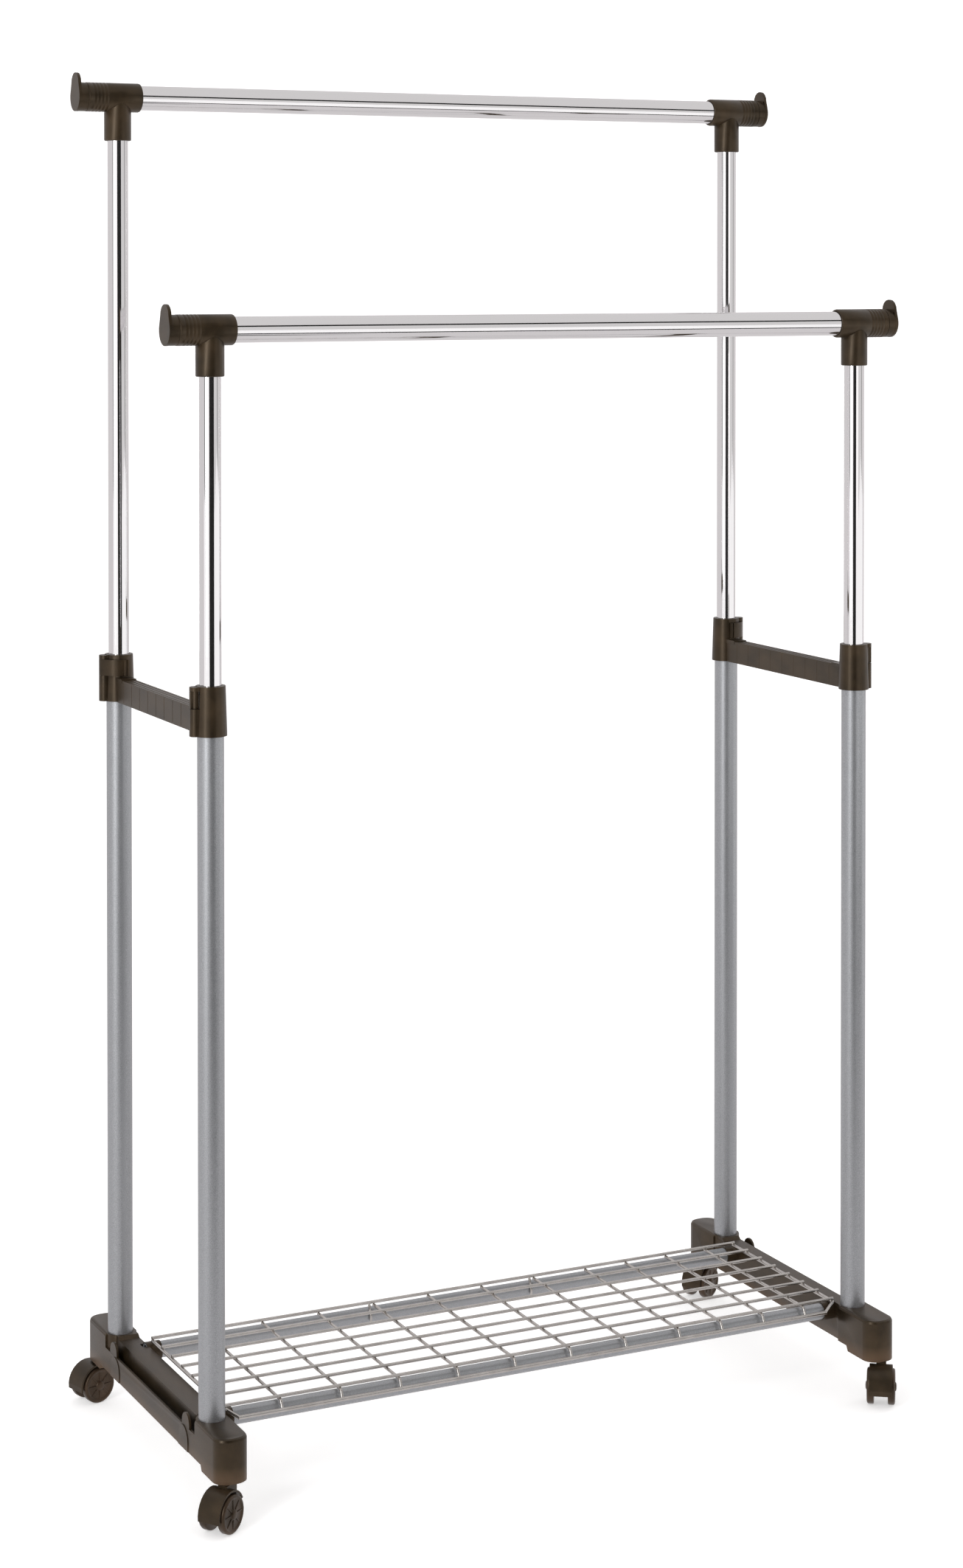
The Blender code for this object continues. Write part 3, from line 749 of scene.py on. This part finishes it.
# %% The wire shelf
SHELF_TUBE_R = 0.0090
WIRE_R = 0.0018
RIM_R = 0.0021
LIP_R = 0.0022
HOOK_R = 0.0015
HALF = 0.3755
LIP_HALF = 0.3630
LONG_COUNT = 8
END_BEYOND = 0.001
HOOKS, HOOK_X, HOOK_STEP, HOOK_BEND = 2, -0.112, 0.207, 0.001
HOOK_START, HOOK_SWEEP, HOOK_PARTS = 135, 65, 6
HOOK_REACH = SHELF_TUBE_R + 0.0025
WIDE_BAY, NARROW_BAY, LAST_BAY = 0.069, 0.055, 0.0405
WIDE_BAYS, NARROW_BAYS = 7, 3
tube_rear, tube_front = middle("shelf_tube_rear"), middle("shelf_tube_front")
CROSS_Z = tube_rear.z + 0.0126
LONG_Z = tube_rear.z + 0.0160
LIP_Z = tube_rear.z + 0.0035
rear_y = tube_rear.y - 0.0054
front_y = tube_front.y - SHELF_TUBE_R
turn_y = front_y - WIRE_R
lip_y = tube_front.y - 0.0160
pitch = (rear_y - front_y) / (LONG_COUNT - 1)


def cross_path(x, lip_x=None):
    """A cross wire: flat over the shelf, then bent down to the lip."""
    lip_x = x if lip_x is None else lip_x
    return [(x, rear_y, CROSS_Z), (x, turn_y, CROSS_Z), (lip_x, lip_y, LIP_Z)]


first_x = HALF - LAST_BAY
wide_x = first_x - NARROW_BAYS * NARROW_BAY
rows = [
    wire_rows(
        "long_wires",
        [(-HALF - END_BEYOND, rear_y, LONG_Z), (HALF + END_BEYOND, rear_y, LONG_Z)],
        WIRE_R,
        LONG_COUNT,
        (0, -pitch, 0),
    ),
    wire_rows("narrow_bays", cross_path(first_x), WIRE_R, NARROW_BAYS, (-NARROW_BAY, 0, 0)),
    wire_rows("wide_bays", cross_path(wide_x), WIRE_R, WIDE_BAYS + 1, (-WIDE_BAY, 0, 0)),
    wire_rows("lip", [(-LIP_HALF, lip_y, LIP_Z), (LIP_HALF, lip_y, LIP_Z)], LIP_R),
]
for sign in SIDES.values():
    path = cross_path(sign * HALF, sign * (LIP_HALF - END_BEYOND))
    rows.append(wire_rows("end_wire", path, RIM_R))
hook = [(HOOK_X, rear_y, LONG_Z)]
for step in range(HOOK_PARTS + 1):
    angle = math.radians(HOOK_START + HOOK_SWEEP * step / HOOK_PARTS)
    away, up = HOOK_REACH * math.cos(angle), HOOK_REACH * math.sin(angle)
    hook.append((HOOK_X, tube_rear.y + away, tube_rear.z + up))
rows.append(wire_rows("hooks", hook, HOOK_R, HOOKS, (HOOK_STEP, 0, 0), bend=HOOK_BEND))
shelf = join(*rows)
shelf.name = "shelf_wires"
stand_in(shelf, "shelf_grid")
print("shelf wires:", len(shelf.data.polygons), "faces")

# %% [markdown]
# The braces carry raised lines: three along the top of the beam, and fine upright ones down
# its sides. They are the same rows, sunk most of the way into the beam.

# %% Raised lines on the braces
BEAM_HALF = 0.00825
BEAM_HEIGHT = 0.026
TOP_LINES, TOP_LINE_R, TOP_LINE_STEP = 3, 0.0008, 0.0052
SIDE_LINES, SIDE_LINE_R = 9, 0.0005
SUNK = 0.0003
FROM_UPRIGHT, SIDE_INSET = 0.036, 0.004
ABOVE_LOW, BELOW_TOP = 0.002, 0.001
front_line, rear_line = upright("front", "left")[1], upright("rear", "left")[1]
for side, outward in SIDES.items():
    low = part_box(f"side_brace_{side}")[0].z
    x = upright("front", side)[0]
    top = low + BEAM_HEIGHT
    start, stop = front_line + FROM_UPRIGHT, rear_line - FROM_UPRIGHT
    across, level = x - TOP_LINE_STEP, top - SUNK
    lines = [
        wire_rows(
            "top_lines",
            [(across, start, level), (across, stop, level)],
            TOP_LINE_R,
            TOP_LINES,
            (TOP_LINE_STEP, 0, 0),
            material=PLASTIC,
        )
    ]
    for face in (-1, 1):
        at, first = x + face * (BEAM_HALF - SUNK), start + SIDE_INSET
        apart = (stop - start - 2 * SIDE_INSET) / (SIDE_LINES - 1)
        lines.append(
            wire_rows(
                "side_lines",
                [(at, first, low + ABOVE_LOW), (at, first, top - BELOW_TOP)],
                SIDE_LINE_R,
                SIDE_LINES,
                (0, apart, 0),
                material=PLASTIC,
            )
        )
    ridges = join(*lines)
    ridges.name = f"brace_lines_{side}"
    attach(ridges, "frame")
print("raised lines on both braces")

# %% [markdown]
# Each caster wheel has a ring of low ribs in its dished face. They are one small rib, repeated
# round the axis by a second tree, so their number is a single value.

# %% Ring of copies
tree, given = geometry_tree("ring_of_copies", {"Count": "Int", "Material": "Material"})
points = grow(tree, "GeometryNodePoints", {"Count": given["Count"]})
index = grow(tree, "GeometryNodeInputIndex")
share = grow(
    tree, "ShaderNodeMath", {0: 2 * math.pi, 1: given["Count"]}, {"operation": "DIVIDE"}
)
angle = grow(tree, "ShaderNodeMath", {0: index, 1: share}, {"operation": "MULTIPLY"})
turn = grow(tree, "ShaderNodeCombineXYZ", {"Z": angle})
copies = grow(
    tree,
    "GeometryNodeInstanceOnPoints",
    {"Points": points, "Instance": given["Geometry"], "Rotation": turn},
)
RING = finish_tree(tree, copies, given["Material"])
print("tree", RING.name, "has", len(RING.nodes), "nodes")

# %% [markdown]
# A caster wheel is turned like the tubes: a tread, a rim, a dished face and a hub. Its profile
# is open. It starts at the axle's hole in the inner face and ends on the axis, in the middle of
# the hub.

# %% Profile of a wheel
WHEEL_IN, WHEEL_TREAD, WHEEL_DOME = 0.0079, 0.0150, 0.0176
WHEEL_SIDES = 72
AXLE_HOLE_R = 0.0030
DISH = 0.0148


def wheel_profile(radius):
    """Half section of a wheel: its inner face, tread, rim, dish and hub."""
    return [
        (AXLE_HOLE_R, WHEEL_IN),
        (radius - 0.0010, WHEEL_IN),
        (radius - 0.0003, WHEEL_IN + 0.0003),
        (radius, WHEEL_IN + 0.0010),
        (radius, WHEEL_TREAD - 0.0010),
        (radius - 0.0003, WHEEL_TREAD - 0.0002),
        (radius - 0.0012, WHEEL_TREAD + 0.0006),
        (radius - 0.0026, WHEEL_TREAD + 0.0009),
        (radius - 0.0036, WHEEL_TREAD + 0.0006),
        (radius - 0.0044, DISH + 0.0002),
        (radius - 0.0056, DISH),
        (0.0066, DISH),
        (0.0056, DISH + 0.0004),
        (0.0050, WHEEL_DOME - 0.0014),
        (0.0042, WHEEL_DOME - 0.0005),
        (0.0026, WHEEL_DOME - 0.0001),
        (0.0, WHEEL_DOME),
    ]


print("wheel face to dome:", round(WHEEL_DOME - WHEEL_IN, 4))

# %% [markdown]
# A rib is a small block that is widest at its foot and slopes down towards the rim. It is
# sunk a little into the dish, so no gap shows under it.

# %% Ribs in the dish
SPOKES = 8


def spoke_ring(radius):
    """The ribs in the dish, as one mesh."""
    inner, outer = 0.0045, radius - 0.0038
    base, top, low_top = DISH - 0.0006, DISH + 0.0012, DISH + 0.0004
    wide, thin = 0.0011, 0.0006
    corners = [
        (inner, -wide, base),
        (outer, -wide, base),
        (outer, wide, base),
        (inner, wide, base),
        (inner, -thin, top),
        (outer, -thin, low_top),
        (outer, thin, low_top),
        (inner, thin, top),
    ]
    faces = [(3, 2, 1, 0), (4, 5, 6, 7), (0, 1, 5, 4), (1, 2, 6, 5), (2, 3, 7, 6), (3, 0, 4, 7)]
    inputs = {"Count": SPOKES, "Material": WHEEL_PLASTIC}
    return grown("spokes", RING, inputs, corners, faces=faces)


print("a wheel has", SPOKES, "ribs")

# %% [markdown]
# The two wheels of a caster share an axle, and each has its dish outwards. A caster may be
# turned any way, so the direction is read from the frame's axle: it is the mean of the points
# at one end, seen from the middle.


# %% Caster wheels
def axle_direction(node):
    """The way an axle points, from its middle to the middle of one end."""
    centre = middle(node)
    points = [vertex.co - centre for vertex in frame["nodes"][node].data.vertices]
    first = max(points, key=lambda point: point.length)
    ahead = [point for point in points if point.dot(first) > 0]
    return (sum(ahead, Vector()) / len(ahead)).normalized()


for end, side in CORNERS:
    axle = f"caster_axle_{end}_{side}"
    for letter in "ab":
        node = f"caster_wheel_{letter}_{end}_{side}"
        low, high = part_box(node)
        radius = (high.z - low.z) / 2
        way = axle_direction(axle)
        if way.dot(middle(node) - middle(axle)) < 0:
            way = -way
        wheel = turned(f"{node}_moulding", wheel_profile(radius), Matrix(), WHEEL_SIDES, False)
        wheel = join(wheel, spoke_ring(radius))
        place_mesh(wheel, along(way, middle(axle)))
        stand_in(wheel, node, WHEEL_PLASTIC)
print("made", 2 * len(CORNERS), "wheels of radius", round(radius, 4))

# %% [markdown]
# The camera stands to the left of the rack's front, at about chest height, with a long lens. A
# vertical lens shift keeps the uprights parallel, where a steep tilt would make them converge.

# %% Camera
data = bpy.data.cameras.new("camera")
camera = bpy.data.objects.new("camera", data)
bpy.context.scene.collection.objects.link(camera)
DOWN, ROLL, TURN = 0.957, 0.017, -25.978
camera.location = (-1.51488, -3.07425, 1.2928)
camera.rotation_euler = [math.radians(degrees) for degrees in (90 - DOWN, ROLL, TURN)]
data.sensor_width = 36.0
data.lens = 69.49
data.shift_y = -0.2983
bpy.context.scene.camera = camera
print("camera at", tuple(camera.location))

# %% [markdown]
# A white studio: a pale floor that curves up into a wall far behind the rack, so no edge shows.
# The paper glows a little, as it would under lamps of its own, so it stays white. The plain
# display transform keeps white paper white.

# %% Floor and wall
bpy.context.scene.view_settings.view_transform = "Standard"
PAPER_GLOW = 0.42
PAPER_HALF = 14.0
PAPER_FRONT, WALL_TOP = -12.0, 9.0
BEND_START, BEND_R, BEND_PARTS = 9.0, 3.0, 12
bm = bmesh.new()
section = [(PAPER_FRONT, 0.0), (BEND_START, 0.0)]
for step in range(1, BEND_PARTS + 1):
    angle = math.pi / 2 * step / BEND_PARTS
    out, up = BEND_R * math.sin(angle), BEND_R * (1 - math.cos(angle))
    section.append((BEND_START + out, up))
section.append((BEND_START + BEND_R, WALL_TOP))
rows = [[bm.verts.new((x, y, z)) for y, z in section] for x in (-PAPER_HALF, PAPER_HALF)]
for i in range(len(section) - 1):
    bm.faces.new((rows[0][i], rows[1][i], rows[1][i + 1], rows[0][i + 1]))
floor = to_object("studio_floor", bm, 180.0)
paper = Finish("white_paper", (0.86, 0.86, 0.86), 0.9)
paper.set("Emission Color", (1.0, 1.0, 1.0))
paper.set("Emission Strength", PAPER_GLOW)
floor.data.materials.append(paper.material)
print("floor ready")


# %% [markdown]
# Chrome shows what surrounds it, so the studio matters as much as the metal. Light comes from
# all round at a soft grey level, with one wide bright box on the camera's side and two thin
# dark lines, one well out on each side. The camera itself sees only an even white beyond the
# paper's edge. A picture of a real studio would do this too, but a few bands are easier to tune.


# %% Studio surroundings
world = bpy.data.worlds.new("studio")
bpy.context.scene.world = world
world.use_nodes = True
tree = world.node_tree
direction = Value(tree, tree.nodes.new("ShaderNodeTexCoord").outputs["Generated"])
split = tree.nodes.new("ShaderNodeSeparateXYZ")
plug(tree, split.inputs[0], direction)
x, y, z = (Value(tree, output) for output in split.outputs)
# Angle round the rack, 0 straight in front of it and positive to its right.
azimuth = x.math("ARCTAN2", y * -1.0) * (180 / math.pi)
elevation = z.math("ARCSINE") * (180 / math.pi)


def band(value, low, high, soft=2.0):
    """1 between two limits, with soft edges."""
    return value.step(low - soft, low + soft) * (1 - value.step(high - soft, high + soft))


AMBIENT, BOX_GAIN, LINE_DEPTH = 0.70, 0.45, 0.92
BACKDROP = 1.2
STUDIO_TINT = (1.0, 0.98, 0.975, 1.0)
BOX_WIDTH, BOX_RISE = (-74.0, 16.0), (-45.0, 22.0)
LEFT_LINE, RIGHT_LINE, LINE_RISE = (-82.0, -76.0), (58.0, 64.0), (-40.0, 40.0)
bright_box = band(azimuth, *BOX_WIDTH) * band(elevation, *BOX_RISE)
lines = (band(azimuth, *LEFT_LINE) + band(azimuth, *RIGHT_LINE)) * band(elevation, *LINE_RISE)
level = (bright_box * BOX_GAIN + AMBIENT) * (1 - lines.clamp() * LINE_DEPTH)
seen = Value(tree, tree.nodes.new("ShaderNodeLightPath").outputs["Is Camera Ray"])
background = tree.nodes["Background"]
plug(tree, background.inputs["Strength"], seen * BACKDROP + (1 - seen) * level)
background.inputs["Color"].default_value = STUDIO_TINT
print("surroundings ready")


# %% [markdown]
# The dark streak down every chrome tube is the unlit space round the camera. Black cards stand
# in for it, and grey screens stand in for the dim sides of the room. They are seen only in
# reflections, so they cast no shadow and the camera looks straight through them.


# %% Finishes and helpers for cards
black_cloth = Finish("black_cloth", (0.004, 0.004, 0.004), 1.0)
dark_floor = Finish("dark_floor", (0.02, 0.02, 0.02), 1.0)
dark_floor.set("Emission Color", (1.0, 1.0, 1.0))
dark_floor.set("Emission Strength", 0.16)
grey_screen = Finish("grey_screen", (0.02, 0.02, 0.02), 1.0)
grey_screen.set("Emission Color", (1.0, 0.965, 0.97))
grey_screen.set("Emission Strength", 0.66)


def card(name, quads, finish=black_cloth):
    """Flat cards, or a folded screen, that show in mirrors only."""
    bm = bmesh.new()
    for corners in quads:
        bm.faces.new([bm.verts.new(corner) for corner in corners])
    obj = to_object(name, bm)
    obj.data.materials.append(finish.material)
    for kind in ("camera", "diffuse", "shadow", "transmission"):
        setattr(obj, f"visible_{kind}", False)
    return obj


def upright_quad(start, stop, low, high):
    """Corners of an upright card between two plan positions and two heights."""
    return [(*start, low), (*stop, low), (*stop, high), (*start, high)]


print("card helpers ready")

# %% [markdown]
# One black card stands in front of the camera, with a dark one on the floor before it. Two
# strips across the front draw the lines along the rails. A grey screen runs from the right
# round the back to the left, and another lies under the rack, and the edges of every round
# tube reflect them.

# %% Cards and screens
CARD_LEFT, CARD_RIGHT = (-1.68, -2.36), (0.175, -1.71)
card("card_behind_camera", [upright_quad(CARD_LEFT, CARD_RIGHT, 0.0, 3.5)])
floor_corners = [CARD_LEFT, CARD_RIGHT, (0.42, -0.95), (-0.85, -1.15)]
card("card_on_floor", [[(*corner, 0.004) for corner in floor_corners]], dark_floor)
wide_corners = [(-2.4, -1.45), (2.4, -1.45), (2.4, 2.2), (-2.4, 2.2)]
card("screen_on_floor", [[(*corner, 0.002) for corner in wide_corners]], grey_screen)
STRIP_LEFT, STRIP_RIGHT = (-2.5, -1.5), (2.5, -1.5)
# The height of each strip's middle, and half its width.
STRIPS = {"strip_high": (2.02, 0.20), "strip_low": (0.175, 0.17)}
for name, (height, half) in STRIPS.items():
    card(name, [upright_quad(STRIP_LEFT, STRIP_RIGHT, height - half, height + half)])
SCREEN_R = 2.4
SCREEN_START, SCREEN_END, SCREEN_PANELS = 84, 274, 24
bends = []
for step in range(SCREEN_PANELS + 1):
    angle = math.radians(SCREEN_START + (SCREEN_END - SCREEN_START) * step / SCREEN_PANELS)
    bends.append((SCREEN_R * math.sin(angle), -SCREEN_R * math.cos(angle)))
panels = [upright_quad(a, b, 0.01, 3.4) for a, b in zip(bends, bends[1:])]
card("screen_behind", panels, grey_screen)
print("cards ready")


# %% [markdown]
# Two tall soft lights shape the plastic: the key from the left, a weaker fill from the right.
# Each draws an upright highlight on every round part.


# %% Lights
def soft_light(name, place, target, size, power):
    """A rectangular light that faces its target."""
    light = bpy.data.lights.new(name, "AREA")
    light.shape = "RECTANGLE"
    light.size, light.size_y = size
    light.energy = power
    lamp = bpy.data.objects.new(name, light)
    bpy.context.scene.collection.objects.link(lamp)
    lamp.location = place
    lamp.rotation_euler = (Vector(target) - Vector(place)).to_track_quat("-Z", "Y").to_euler()
    return lamp


TARGET = (0, 0, 0.9)
KEY_PLACE, KEY_SIZE, KEY_POWER = (-3.05, -1.75, 1.9), (0.7, 3.0), 40
FILL_PLACE, FILL_SIZE, FILL_POWER = (3.2, 0.3, 1.7), (0.6, 3.0), 16
soft_light("key", KEY_PLACE, TARGET, KEY_SIZE, KEY_POWER)
soft_light("fill", FILL_PLACE, TARGET, FILL_SIZE, FILL_POWER)
print("lights ready")
